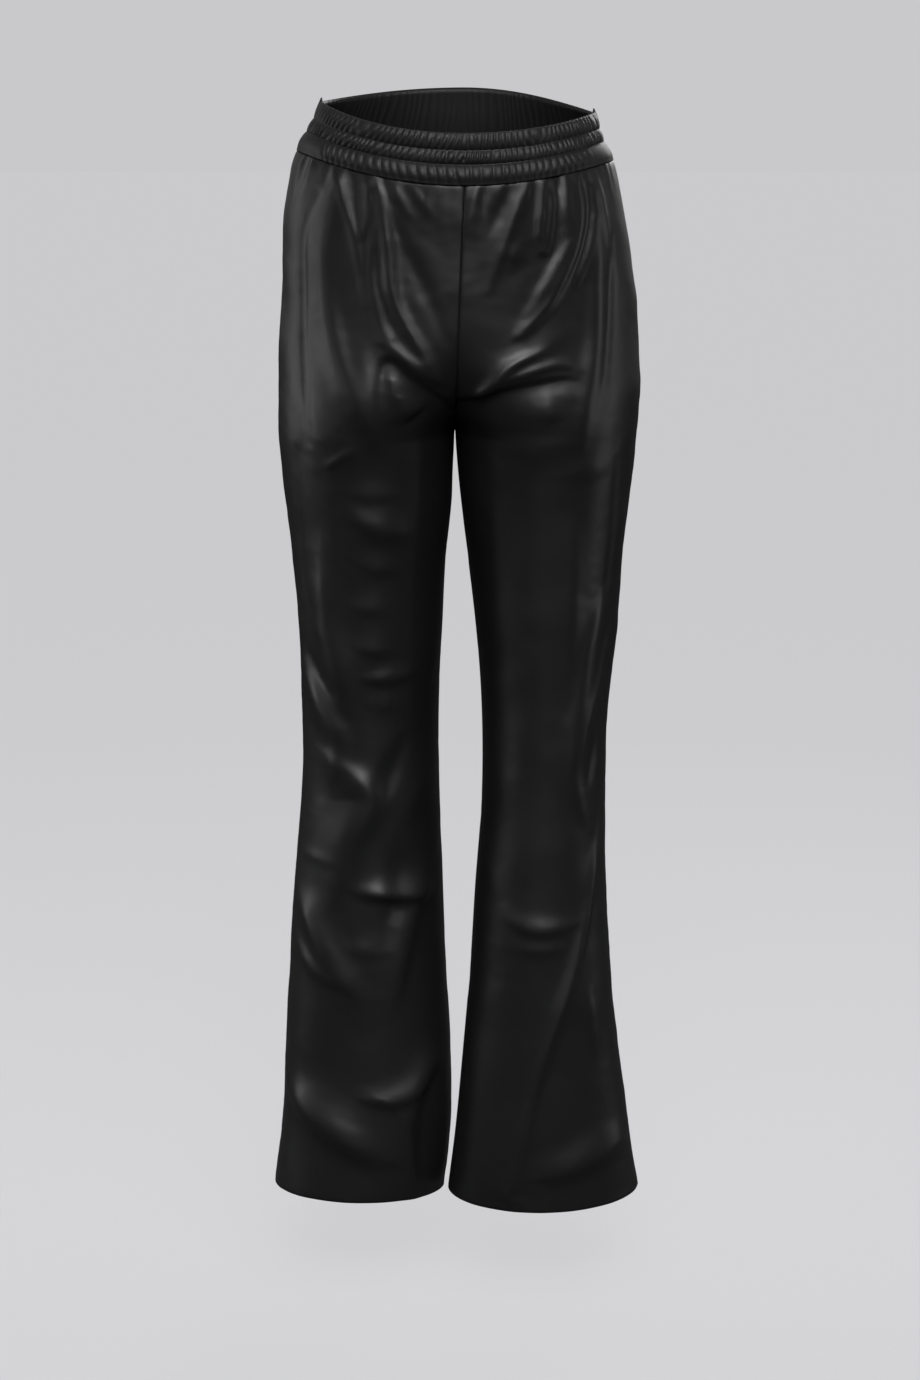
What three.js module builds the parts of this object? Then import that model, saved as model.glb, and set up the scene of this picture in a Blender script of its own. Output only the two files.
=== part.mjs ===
// Black leather trousers: a gathered elastic waistband in three channels over two fronts and two backs,
// narrow at the knee and flared to the hem, in the hollow shape they have when worn.
// Millimetres, +Z up, front towards -Y. The origin is the middle of the waist opening.
// "right" and "left" are the wearer's own, so right lies towards -X.
import * as THREE from "three";

// Driving dimensions
const clothThickness = 1.2;
const bandThickness = 3;
const seamGap = 0.3;
const crotchHeight = -289;
const forkStart = -150; // the centre seam runs straight above this height and curves under below it
const straightBelowBand = -140; // rows of points follow the tilted band above this height
const centreSeam = { waistHeight: -52, waistX: 7, crotchX: -2 };
const forkPower = { front: 1.8, back: 1.35 }; // how late the centre seam turns under
const forkEasing = 1.5; // how gently it arrives at the crotch
const foldFade = 3; // folds die out within about a tenth of the panel from its seams
const hemHeight = {
  right: { side: -1054, inner: -1058, front: -1053, back: -1052 },
  left: { side: -1046, inner: -1050, front: -1056, back: -1046 },
};

// Waistband edges at the side seams and at the centre, and how late the edge bends down to the centre
const bandTop = { right: 23, left: 13, front: -4, back: 35, bend: 2 };
const bandBottom = { right: -23, left: -32, front: -52, back: -15, bend: 2.4 };

// Channels of the waistband, as shares of its height from the top, with the height of the puffs and
// gathers. The gathers of neighbouring channels lie half a wave apart.
const channels = [
  { from: 0, to: 0.33, puff: 2.2, gather: 0.9, shift: 1 },
  { from: 0.33, to: 0.58, puff: 2.0, gather: 0.9, shift: -1 },
  { from: 0.58, to: 1, puff: 3.4, gather: 1.1, shift: 1 },
];
const channelRows = [
  { share: 0.28, puff: 0.9 },
  { share: 0.74, puff: 1 },
]; // rows of points inside a channel, with their share of the puff
const topEdgePuff = 0.4;
const bottomEdgePuff = 0.8;
const wavesPerHalf = 32; // gathers of one channel across the front or the back
const gatherFade = 6; // gathers die out close to the side seams

// Rows of the body, from the waist to the crotch: x of the side seams, depth to the front and to the back
const torso = [
  { z: 36, right: -126, left: 124, front: 91, back: 93 },
  { z: 22, right: -129, left: 127, front: 91, back: 94 },
  { z: 6, right: -137, left: 133, front: 92, back: 95 },
  { z: -12, right: -147, left: 139, front: 92.5, back: 97 },
  { z: -32, right: -156, left: 149, front: 95, back: 100 },
  { z: -52, right: -160, left: 154, front: 98, back: 104 },
  { z: -87, right: -165, left: 161, front: 101, back: 111 },
  { z: -125, right: -167, left: 167, front: 103, back: 119 },
  { z: -163, right: -168, left: 172, front: 105, back: 126 },
  { z: -201, right: -171, left: 174, front: 105, back: 130 },
  { z: -240, right: -172, left: 176, front: 104, back: 128 },
  { z: -270, right: -172.5, left: 175, front: 101, back: 120 },
  { z: -289, right: -172, left: 173.5, front: 98.5, back: 113 },
];

// Rows of each leg: x of the side seam and the inseam, depth to the front and back, y of both seams
const legs = {
  right: [
    { z: -327, side: -169, inner: -4, front: 94, back: 99, seam: 0 },
    { z: -356, side: -166, inner: -5, front: 91, back: 92, seam: 0 },
    { z: -415, side: -160, inner: -11, front: 85, back: 82, seam: 0 },
    { z: -475, side: -155, inner: -14, front: 80, back: 76, seam: 0 },
    { z: -535, side: -153, inner: -17, front: 76, back: 74, seam: 0 },
    { z: -595, side: -152, inner: -18, front: 73, back: 73, seam: 0 },
    { z: -657, side: -155, inner: -16, front: 71, back: 76, seam: 0 },
    { z: -739, side: -162, inner: -14, front: 70, back: 79, seam: 0 },
    { z: -822, side: -168, inner: -11, front: 70, back: 79, seam: 0 },
    { z: -906, side: -173, inner: -6.5, front: 70, back: 77, seam: 0 },
    { z: -992, side: -178, inner: -6, front: 71, back: 75, seam: 0 },
    { z: -1060, side: -186, inner: -12.5, front: 72, back: 73, seam: 0 },
  ],
  left: [
    { z: -327, side: 171, inner: 1, front: 95, back: 98, seam: 0 },
    { z: -356, side: 167, inner: 4, front: 92, back: 92, seam: -1 },
    { z: -415, side: 161, inner: 11, front: 87, back: 82, seam: -3 },
    { z: -475, side: 157, inner: 18, front: 83, back: 77, seam: -5 },
    { z: -535, side: 151, inner: 23, front: 79, back: 75, seam: -7 },
    { z: -595, side: 147, inner: 25, front: 76, back: 74, seam: -9 },
    { z: -657, side: 146, inner: 24, front: 73, back: 73, seam: -12 },
    { z: -739, side: 148, inner: 18, front: 70, back: 72, seam: -16 },
    { z: -822, side: 154, inner: 13, front: 67, back: 69, seam: -20 },
    { z: -906, side: 162, inner: 6, front: 64, back: 66, seam: -24 },
    { z: -992, side: 173, inner: -2, front: 61, back: 62, seam: -28 },
    { z: -1060, side: 184, inner: -10.5, front: 59, back: 59, seam: -30 },
  ],
};

// Largest folds, each along a line from one end to the other: ridges are positive, troughs negative
const folds = [
  { half: "front", x1: -123, z1: -55, x2: -138, z2: -150, width: 14, height: 7 },
  { half: "front", x1: -138, z1: -150, x2: -112, z2: -262, width: 18, height: 7 },
  { half: "front", x1: -86, z1: -52, x2: -83, z2: -155, width: 12, height: 7 },
  { half: "front", x1: -83, z1: -155, x2: -22, z2: -238, width: 15, height: 7 },
  { half: "front", x1: -102, z1: -60, x2: -104, z2: -165, width: 10, height: -5 },
  { half: "front", x1: 54, z1: -60, x2: 34, z2: -150, width: 12, height: 6 },
  { half: "front", x1: 113, z1: -52, x2: 60, z2: -195, width: 15, height: 8 },
  { half: "front", x1: 134, z1: -60, x2: 134, z2: -200, width: 13, height: 7 },
  { half: "front", x1: 95, z1: -90, x2: 70, z2: -130, width: 12, height: -4 },
  { half: "front", x1: 22, z1: -262, x2: 110, z2: -205, width: 15, height: 8 },
  { half: "front", x1: -84, z1: -222, x2: -62, z2: -325, width: 17, height: 6 },
  { half: "front", x1: -130, z1: -440, x2: -104, z2: -590, width: 20, height: 6 },
  { half: "front", x1: -112, z1: -640, x2: -60, z2: -760, width: 22, height: 7 },
  { half: "front", x1: -155, z1: -780, x2: -95, z2: -880, width: 20, height: 6 },
  { half: "front", x1: -162, z1: -968, x2: -80, z2: -1030, width: 24, height: 7 },
  { half: "front", x1: 134, z1: -505, x2: 112, z2: -640, width: 18, height: 7 },
  { half: "front", x1: 62, z1: -795, x2: 104, z2: -812, width: 18, height: 6 },
  { half: "front", x1: 96, z1: -1010, x2: 152, z2: -985, width: 22, height: 7 },
  { half: "back", x1: -112, z1: -45, x2: -96, z2: -160, width: 14, height: 6 },
  { half: "back", x1: -52, z1: -35, x2: -60, z2: -120, width: 12, height: 6 },
  { half: "back", x1: 58, z1: -35, x2: 66, z2: -130, width: 12, height: 6 },
  { half: "back", x1: 118, z1: -55, x2: 104, z2: -165, width: 14, height: 6 },
  { half: "back", x1: -26, z1: -292, x2: -118, z2: -338, width: 15, height: 8 },
  { half: "back", x1: -40, z1: -336, x2: -120, z2: -378, width: 15, height: 6 },
  { half: "back", x1: 26, z1: -294, x2: 122, z2: -332, width: 15, height: 8 },
  { half: "back", x1: 44, z1: -340, x2: 118, z2: -372, width: 15, height: 6 },
  { half: "back", x1: -44, z1: -575, x2: -124, z2: -612, width: 16, height: 7 },
  { half: "back", x1: -50, z1: -640, x2: -126, z2: -652, width: 16, height: 7 },
  { half: "back", x1: 48, z1: -568, x2: 122, z2: -606, width: 16, height: 7 },
  { half: "back", x1: 50, z1: -640, x2: 118, z2: -660, width: 16, height: 7 },
];

// Points of the grids
const panelColumns = 12;
const bandFollowingRows = 5;
const forkRows = 10;
const forkRowSpacing = 0.75; // rows crowd together towards the crotch
const legHeights = [
  -297, -310, -327, -348, -372, -398, -425, -452, -480, -508, -536, -564, -592, -620, -648, -676, -706, -736,
  -766, -796, -826, -856, -886, -916, -946, -976, -1004, -1030,
];
const crotchMitre = 0.8; // share of the thickness that the inner corner of the crotch moves each way

const leather = { color: 0x0b0b0c, roughness: 0.42, metalness: 0, side: THREE.DoubleSide };
const gatheredLeather = { color: 0x0d0d0e, roughness: 0.46, metalness: 0, side: THREE.DoubleSide };

const outward = { right: -1, left: 1 };
const facing = { front: -1, back: 1 };

// Height-ordered rows read as a smooth curve: cubic pieces with the slope of the neighbouring rows
function readRows(rows, z, column) {
  let i = 0;
  while (i < rows.length - 2 && z < rows[i + 1].z) i += 1;
  const slopeAt = (k) => {
    const above = rows[Math.max(k - 1, 0)];
    const below = rows[Math.min(k + 1, rows.length - 1)];
    return (below[column] - above[column]) / (below.z - above.z);
  };
  const a = rows[i];
  const b = rows[i + 1];
  const span = b.z - a.z;
  const t = THREE.MathUtils.clamp((z - a.z) / span, 0, 1);
  const t2 = t * t;
  const t3 = t2 * t;
  return (
    (2 * t3 - 3 * t2 + 1) * a[column] +
    (t3 - 2 * t2 + t) * span * slopeAt(i) +
    (3 * t2 - 2 * t3) * b[column] +
    (t3 - t2) * span * slopeAt(i + 1)
  );
}

function centreSeamX(z) {
  const slope = (centreSeam.crotchX - centreSeam.waistX) / (crotchHeight - centreSeam.waistHeight);
  return centreSeam.waistX + (z - centreSeam.waistHeight) * slope;
}

// One table for each side, from the waist to the hem, and one for its inseam
function outlineRows(side) {
  const body = torso.map((row) => ({ z: row.z, side: row[side], front: row.front, back: row.back, seam: 0 }));
  return [...body, ...legs[side]];
}

function inseamRows(side) {
  return [{ z: crotchHeight, inner: centreSeam.crotchX + (outward[side] * seamGap) / 2 }, ...legs[side]];
}

const outlines = { right: outlineRows("right"), left: outlineRows("left") };
const inseams = { right: inseamRows("right"), left: inseamRows("left") };

// Share of the way under that the centre seam has turned at a height
function forkShare(half, z) {
  const s = THREE.MathUtils.clamp((forkStart - z) / (forkStart - crotchHeight), 0, 1);
  return 1 - Math.pow(1 - Math.pow(s, forkPower[half]), forkEasing);
}

// Half an ellipse from the side seam to the inner edge. Above the crotch the centre seam cuts it short.
function section(side, half, z) {
  const rows = outlines[side];
  const sideX = readRows(rows, z, "side");
  const depth = readRows(rows, z, half);
  const seamY = readRows(rows, z, "seam");
  if (z < crotchHeight) {
    const innerX = readRows(inseams[side], z, "inner");
    return { middle: (sideX + innerX) / 2, reach: (sideX - innerX) / 2, depth, seamY, lastAngle: Math.PI };
  }
  const share = forkShare(half, z);
  const edgeX = centreSeamX(z) + (outward[side] * seamGap) / 2;
  const reach = (sideX - edgeX) / (1 + share);
  return { middle: edgeX + share * reach, reach, depth, seamY, lastAngle: Math.acos(-share) };
}

function distanceToLine(x, z, fold) {
  const dx = fold.x2 - fold.x1;
  const dz = fold.z2 - fold.z1;
  const t = THREE.MathUtils.clamp(((x - fold.x1) * dx + (z - fold.z1) * dz) / (dx * dx + dz * dz), 0, 1);
  return Math.hypot(x - fold.x1 - t * dx, z - fold.z1 - t * dz);
}

function foldHeight(half, x, z) {
  return folds
    .filter((fold) => fold.half === half)
    .reduce((sum, fold) => sum + fold.height * Math.exp(-((distanceToLine(x, z, fold) / fold.width) ** 2)), 0);
}

// A point of the outer surface, moved out by the given amount. u runs from the side seam to the inner edge.
function surfacePoint(side, half, u, z, raise) {
  const s = section(side, half, z);
  const angle = u * s.lastAngle;
  const x = s.middle + s.reach * Math.cos(angle);
  const normal = new THREE.Vector2(Math.cos(angle) / s.reach, (facing[half] * Math.sin(angle)) / s.depth);
  normal.normalize();
  const y = s.seamY + facing[half] * (seamGap / 2 + s.depth * Math.sin(angle));
  return new THREE.Vector3(x + normal.x * raise, y + normal.y * raise, z);
}

// Height of a waistband edge, from the side seam (angle 0) to the centre (a right angle)
function bandEdge(edge, side, half, angle) {
  return edge[side] + (edge[half] - edge[side]) * Math.pow(Math.sin(angle), edge.bend);
}

function hemEdge(side, half, u) {
  const hem = hemHeight[side];
  const level = THREE.MathUtils.lerp(hem.side, hem.inner, u);
  return level + (hem[half] - (hem.side + hem.inner) / 2) * Math.sin(u * Math.PI);
}

// Heights of one column of a panel from the waistband down to the hem
function columnHeights(side, half, u) {
  const top = bandEdge(bandBottom, side, half, (u * Math.PI) / 2) - seamGap;
  const heights = [];
  for (let i = 0; i <= bandFollowingRows; i += 1) {
    heights.push(THREE.MathUtils.lerp(top, straightBelowBand, i / bandFollowingRows));
  }
  for (let i = 1; i <= forkRows; i += 1) {
    const turned = Math.pow(Math.sin(((i / forkRows) * Math.PI) / 2), forkRowSpacing);
    heights.push(THREE.MathUtils.lerp(forkStart, crotchHeight, turned));
  }
  return [...heights, ...legHeights, hemEdge(side, half, u)];
}

function outerGrid(side, half) {
  const columns = [];
  for (let k = 0; k <= panelColumns; k += 1) {
    const u = k / panelColumns;
    const seamFade = Math.min(1, Math.sin(u * Math.PI) * foldFade);
    columns.push(
      columnHeights(side, half, u).map((z) => {
        const flat = surfacePoint(side, half, u, z, 0);
        return surfacePoint(side, half, u, z, foldHeight(half, flat.x, z) * seamFade);
      }),
    );
  }
  return columns;
}

// Outward normals of a grid of columns, from the differences between neighbouring points
function gridNormals(columns, sign) {
  return columns.map((column, k) =>
    column.map((_, i) => {
      const along = columns[Math.min(k + 1, columns.length - 1)][i].clone();
      along.sub(columns[Math.max(k - 1, 0)][i]);
      const down = column[Math.min(i + 1, column.length - 1)].clone().sub(column[Math.max(i - 1, 0)]);
      return along.cross(down).normalize().multiplyScalar(sign);
    }),
  );
}

// Inner surface of a panel. Its edges stay in the planes of the seams and level with the outer edges.
function innerGrid(outer, side, half) {
  const normals = gridNormals(outer, -outward[side] * facing[half]);
  const last = outer.length - 1;
  const bottom = outer[0].length - 1;
  const crotchRow = bandFollowingRows + forkRows;
  return outer.map((column, k) =>
    column.map((point, i) => {
      const inner = point.clone().addScaledVector(normals[k][i], -clothThickness);
      if (i === 0 || i === bottom) inner.z = point.z;
      if (k === 0 || (k === last && i > crotchRow)) inner.y = point.y;
      if (k === last && i < crotchRow) inner.x = centreSeamX(inner.z) + (outward[side] * seamGap) / 2;
      if (k === last && i === crotchRow) {
        const step = clothThickness * crotchMitre;
        inner.set(point.x + outward[side] * step, point.y, point.z + step);
      }
      return inner;
    }),
  );
}

function volumeOf(positions, faces) {
  const [a, b, c] = [new THREE.Vector3(), new THREE.Vector3(), new THREE.Vector3()];
  let volume = 0;
  for (const [i, j, k] of faces) {
    a.copy(positions[i]);
    b.copy(positions[j]);
    c.copy(positions[k]);
    volume += a.dot(b.cross(c)) / 6;
  }
  return volume;
}

// Geometry of shared points and triangles, turned to face outwards
function closedGeometry(positions, faces) {
  const turned = volumeOf(positions, faces) < 0 ? faces.map(([a, b, c]) => [a, c, b]) : faces;
  const geometry = new THREE.BufferGeometry();
  geometry.setFromPoints(positions);
  geometry.setIndex(turned.flat());
  geometry.computeVertexNormals();
  return geometry;
}

// A wall between two grids of the same size, closed by a rim along all four edges
function panelGeometry(outer, inner) {
  const rows = outer[0].length;
  const last = outer.length - 1;
  const positions = [...outer.flat(), ...inner.flat()];
  const at = (k, i) => k * rows + i;
  const offset = outer.length * rows;
  const faces = [];
  const quad = (a, b, c, d) => faces.push([a, b, c], [a, c, d]);
  for (let k = 0; k < last; k += 1) {
    for (let i = 0; i < rows - 1; i += 1) {
      quad(at(k, i), at(k + 1, i), at(k + 1, i + 1), at(k, i + 1));
      quad(offset + at(k, i), offset + at(k, i + 1), offset + at(k + 1, i + 1), offset + at(k + 1, i));
    }
    quad(at(k, 0), offset + at(k, 0), offset + at(k + 1, 0), at(k + 1, 0));
    quad(at(k, rows - 1), at(k + 1, rows - 1), offset + at(k + 1, rows - 1), offset + at(k, rows - 1));
  }
  for (let i = 0; i < rows - 1; i += 1) {
    quad(at(0, i), at(0, i + 1), offset + at(0, i + 1), offset + at(0, i));
    quad(at(last, i), offset + at(last, i), offset + at(last, i + 1), at(last, i + 1));
  }
  return closedGeometry(positions, faces);
}

function makePanel(name, side, half) {
  const outer = outerGrid(side, half);
  const geometry = panelGeometry(outer, innerGrid(outer, side, half));
  const panel = new THREE.Mesh(geometry, new THREE.MeshStandardMaterial(leather));
  panel.name = name;
  return panel;
}

// Levels of one half of the waistband, as shares of its height from the top, with puff and gather heights
function bandLevels() {
  const levels = [{ share: 0, puff: topEdgePuff, gather: 0 }];
  for (const channel of channels) {
    const height = channel.to - channel.from;
    const gather = channel.gather * channel.shift;
    for (const row of channelRows) {
      levels.push({ share: channel.from + height * row.share, puff: channel.puff * row.puff, gather });
    }
    levels.push({ share: channel.to, puff: 0, gather: 0 });
  }
  levels.at(-1).puff = bottomEdgePuff;
  return levels;
}

// A point of the waistband. t runs from the right side seam over the centre to the left side seam.
function bandPoint(half, t, share, raise) {
  const side = t < 0.5 ? "right" : "left";
  const angle = (t < 0.5 ? t : 1 - t) * Math.PI;
  const top = bandEdge(bandTop, side, half, angle);
  const bottom = bandEdge(bandBottom, side, half, angle);
  const z = THREE.MathUtils.lerp(top, bottom, share);
  const centre = centreSeam.waistX;
  const reach = readRows(outlines[side], z, "side") - centre;
  const depth = readRows(outlines[side], z, half);
  const normal = new THREE.Vector2(Math.cos(angle) / reach, (facing[half] * Math.sin(angle)) / depth);
  normal.normalize();
  const y = facing[half] * (seamGap / 2 + depth * Math.sin(angle)) + normal.y * raise;
  return new THREE.Vector3(centre + reach * Math.cos(angle) + normal.x * raise, y, z);
}

// Half a waistband: gathered outer points over a plain inside with only its top and bottom edges
function bandGeometry(half) {
  const columns = wavesPerHalf * 2;
  const levels = bandLevels();
  const positions = [];
  const faces = [];
  const quad = (a, b, c, d) => faces.push([a, b, c], [a, c, d]);
  for (let k = 0; k <= columns; k += 1) {
    const t = k / columns;
    const crest = k % 2 === 0 ? -1 : 1;
    const nearSeam = Math.min(1, Math.sin(t * Math.PI) * gatherFade);
    for (const level of levels) {
      positions.push(bandPoint(half, t, level.share, level.puff + crest * level.gather * nearSeam));
    }
  }
  const outerCount = positions.length;
  for (let k = 0; k <= columns; k += 1) {
    positions.push(bandPoint(half, k / columns, 0, -bandThickness));
    positions.push(bandPoint(half, k / columns, 1, -bandThickness));
  }
  const at = (k, i) => k * levels.length + i;
  const insideTop = (k) => outerCount + 2 * k;
  const insideBottom = (k) => outerCount + 2 * k + 1;
  const lowest = levels.length - 1;
  for (let k = 0; k < columns; k += 1) {
    for (let i = 0; i < lowest; i += 1) quad(at(k, i), at(k + 1, i), at(k + 1, i + 1), at(k, i + 1));
    quad(insideTop(k), insideBottom(k), insideBottom(k + 1), insideTop(k + 1));
    quad(at(k, 0), insideTop(k), insideTop(k + 1), at(k + 1, 0));
    quad(at(k, lowest), at(k + 1, lowest), insideBottom(k + 1), insideBottom(k));
  }
  const middle = Math.floor(lowest / 2);
  for (let i = 0; i < lowest; i += 1) {
    const pivot = i < middle ? insideTop : insideBottom;
    faces.push([pivot(0), at(0, i), at(0, i + 1)], [pivot(columns), at(columns, i + 1), at(columns, i)]);
  }
  faces.push([insideTop(0), at(0, middle), insideBottom(0)]);
  faces.push([insideTop(columns), insideBottom(columns), at(columns, middle)]);
  return closedGeometry(positions, faces);
}

function makeBand(name, half) {
  const band = new THREE.Mesh(bandGeometry(half), new THREE.MeshStandardMaterial(gatheredLeather));
  band.name = name;
  return band;
}

const trousers = new THREE.Group();
trousers.add(makeBand("waistband_front", "front"));
trousers.add(makeBand("waistband_back", "back"));
trousers.add(makePanel("front_panel_right", "right", "front"));
trousers.add(makePanel("front_panel_left", "left", "front"));
trousers.add(makePanel("back_panel_right", "right", "back"));
trousers.add(makePanel("back_panel_left", "left", "back"));

export default trousers;
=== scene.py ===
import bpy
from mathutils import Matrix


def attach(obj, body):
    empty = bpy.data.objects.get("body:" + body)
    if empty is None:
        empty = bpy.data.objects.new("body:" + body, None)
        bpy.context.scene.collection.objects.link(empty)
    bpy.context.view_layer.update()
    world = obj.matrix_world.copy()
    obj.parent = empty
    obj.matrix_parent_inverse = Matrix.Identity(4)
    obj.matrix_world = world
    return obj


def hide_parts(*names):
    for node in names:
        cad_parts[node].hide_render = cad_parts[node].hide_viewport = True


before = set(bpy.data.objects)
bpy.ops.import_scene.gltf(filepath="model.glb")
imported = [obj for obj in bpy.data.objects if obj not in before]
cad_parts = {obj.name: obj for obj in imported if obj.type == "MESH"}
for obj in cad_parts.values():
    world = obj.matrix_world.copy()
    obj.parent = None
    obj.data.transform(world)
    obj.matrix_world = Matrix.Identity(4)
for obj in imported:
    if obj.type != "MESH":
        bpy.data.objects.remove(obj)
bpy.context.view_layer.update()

import math

import bmesh
import bpy
import numpy as np
from mathutils import Matrix, Vector, noise

# All shapes are worked out in millimetres and put into the meshes in metres.
# +Z is up, the front looks towards -Y, and right and left are as when worn.
metre = 0.001

print("trousers: camera, lights and floor")

view = {"focal": 3000, "frameHeight": 1380, "sensor": 36, "tilt": 12, "place": (0.003, -2.8904, 0.0694)}


def makeCamera():
    data = bpy.data.cameras.new("camera")
    data.sensor_width = view["sensor"]
    data.lens = view["focal"] / view["frameHeight"] * view["sensor"]  # the sensor's width is the long side's
    camera = bpy.data.objects.new("camera", data)
    camera.location = view["place"]
    camera.rotation_euler = (math.radians(90 - view["tilt"]), 0, 0)
    bpy.context.scene.collection.objects.link(camera)
    bpy.context.scene.camera = camera


makeCamera()

# name, place, point it faces, width and height of the soft box, power in watts, angle that it spreads over
softBoxes = [
    ("hips", (0.25, -2.0, 1.5), (0, 0, -0.15), 1.9, 0.5, 5.6, 60),
    ("legs", (0.05, -2.5, 0.85), (0, 0, -0.92), 2.6, 0.6, 4.6, 29),
    ("leftFront", (-2.9, -1.9, 0.3), (0, 0, -0.6), 1.2, 1.5, 4.4, 180),
    ("leftLow", (-2.9, -0.2, -0.4), (0, 0, -0.7), 1.0, 1.1, 0.6, 36),
    ("leftSide", (-2.2, 0.8, 0.2), (0, 0, -0.5), 0.6, 1.7, 5.5, 180),
    ("rightSide", (2.8, -0.2, -0.2), (0, 0, -0.5), 0.9, 1.7, 7.5, 180),
    ("behind", (1.4, 2.7, 1.1), (0, 0, -0.4), 1.6, 1.6, 11, 90),
]


def makeLight(name, place, target, width, height, power, spread):
    data = bpy.data.lights.new(name, "AREA")
    data.shape = "RECTANGLE"
    data.size, data.size_y = width, height
    data.energy = power
    data.spread = math.radians(spread)
    light = bpy.data.objects.new(name, data)
    light.location = place
    light.rotation_euler = (Vector(target) - Vector(place)).to_track_quat("-Z", "Y").to_euler()
    bpy.context.scene.collection.objects.link(light)


for box in softBoxes:
    makeLight(*box)


def plug(tree, slot, value):
    if isinstance(value, Wire):
        tree.links.new(value.socket, slot)
    else:
        slot.default_value = value


class Wire:  # a socket that takes part in sums
    def __init__(self, tree, socket):
        self.tree, self.socket = tree, socket

    def maths(self, operation, first, second):
        node = self.tree.nodes.new("ShaderNodeMath")
        node.operation = operation
        plug(self.tree, node.inputs[0], first)
        plug(self.tree, node.inputs[1], second)
        return Wire(self.tree, node.outputs[0])

    def __add__(self, other):
        return self.maths("ADD", self, other)

    __radd__ = __add__

    def __sub__(self, other):
        return self.maths("SUBTRACT", self, other)

    def __rsub__(self, other):
        return self.maths("SUBTRACT", other, self)

    def __mul__(self, other):
        return self.maths("MULTIPLY", self, other)

    __rmul__ = __mul__

    def __pow__(self, other):
        return self.maths("POWER", self, other)

    def atLeast(self, other):
        return self.maths("MAXIMUM", self, other)


class Shader:
    def __init__(self, tree):
        self.tree = tree

    def add(self, kind, settings=None, sockets=None, out=0):
        node = self.tree.nodes.new("ShaderNode" + kind)
        for key, value in (settings or {}).items():
            setattr(node, key, value)
        for key, value in (sockets or {}).items():
            plug(self.tree, node.inputs[key], value)
        return Wire(self.tree, node.outputs[out])


def newMaterial(name):
    material = bpy.data.materials.new(name)
    material.use_nodes = True
    return material, Shader(material.node_tree), material.node_tree.nodes["Principled BSDF"]


world = {
    "front": 0.018,
    "behind": 0.30,
    "above": 0.12,
    "backFalloff": 2.5,
    "upFalloff": 1.5,
    "shown": (0.585, 0.582, 0.597, 1),  # what the camera sees of it
}


def makeWorld():
    scene = bpy.context.scene
    scene.world = bpy.data.worlds.new("studio")
    scene.world.use_nodes = True
    shader = Shader(scene.world.node_tree)
    direction = shader.add("TexCoord", out="Generated")
    parts = scene.world.node_tree.nodes.new("ShaderNodeSeparateXYZ")
    plug(shader.tree, parts.inputs[0], direction)
    y = Wire(shader.tree, parts.outputs[1])
    z = Wire(shader.tree, parts.outputs[2])
    back = (y * 0.5 + 0.5).atLeast(0) ** world["backFalloff"]
    up = z.atLeast(0) ** world["upFalloff"]
    strength = world["front"] + back * (world["behind"] - world["front"]) + up * world["above"]
    isShown = shader.add("LightPath", out="Is Camera Ray")
    lit = scene.world.node_tree.nodes["Background"]
    plug(shader.tree, lit.inputs["Strength"], strength)
    shown = scene.world.node_tree.nodes.new("ShaderNodeBackground")
    shown.inputs["Color"].default_value = world["shown"]
    lit.inputs["Color"].default_value = (1, 1, 1, 1)
    mix = scene.world.node_tree.nodes.new("ShaderNodeMixShader")
    plug(shader.tree, mix.inputs[0], isShown)
    shader.tree.links.new(lit.outputs[0], mix.inputs[1])
    shader.tree.links.new(shown.outputs[0], mix.inputs[2])
    shader.tree.links.new(mix.outputs[0], scene.world.node_tree.nodes["World Output"].inputs[0])
    scene.view_settings.view_transform = "Standard"


makeWorld()

floorLook = {
    "height": -1.187,
    "radius": 30.0,
    "colour": (0.10, 0.10, 0.105, 1),
    "glow": (0.58, 0.577, 0.590, 1),  # keeps the far floor as pale as the near one
    "mirrored": (0.07, 0.07, 0.075, 1),  # what the leather sees of it, as of a studio floor in shade
}


def makeFloor():
    bm = bmesh.new()
    bmesh.ops.create_circle(bm, cap_ends=True, segments=128, radius=floorLook["radius"])
    bmesh.ops.translate(bm, verts=bm.verts, vec=(0, 0, floorLook["height"]))
    mesh = bpy.data.meshes.new("floor")
    bm.to_mesh(mesh)
    bm.free()
    floor = bpy.data.objects.new("floor", mesh)
    bpy.context.scene.collection.objects.link(floor)
    material, shader, surface = newMaterial("floor")
    surface.inputs["Base Color"].default_value = floorLook["colour"]
    surface.inputs["Roughness"].default_value = 0.9
    surface.inputs["Specular IOR Level"].default_value = 0
    surface.inputs["Emission Color"].default_value = floorLook["glow"]
    surface.inputs["Emission Strength"].default_value = 1
    shaded = material.node_tree.nodes.new("ShaderNodeBsdfDiffuse")
    shaded.inputs["Color"].default_value = floorLook["mirrored"]
    mix = material.node_tree.nodes.new("ShaderNodeMixShader")
    plug(shader.tree, mix.inputs[0], shader.add("LightPath", out="Is Camera Ray"))
    shader.tree.links.new(shaded.outputs[0], mix.inputs[1])
    shader.tree.links.new(surface.outputs[0], mix.inputs[2])
    shader.tree.links.new(mix.outputs[0], material.node_tree.nodes["Material Output"].inputs[0])
    mesh.materials.append(material)


makeFloor()

print("trousers: materials")

leatherLook = {
    "colour": (0.0060, 0.0061, 0.0066, 1),
    "patchColour": (0.0085, 0.0084, 0.0088, 1),
    "roughness": 0.41,
    "roughnessSpread": 0.12,
    "patchScale": 9.0,
    "grainScale": 1500.0,
    "grainShare": 0.6,
    "poreScale": 700.0,
    "poreShare": 0.8,
    "grainStrength": 0.22,
    "grainDepth": 0.00016,
}


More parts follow.
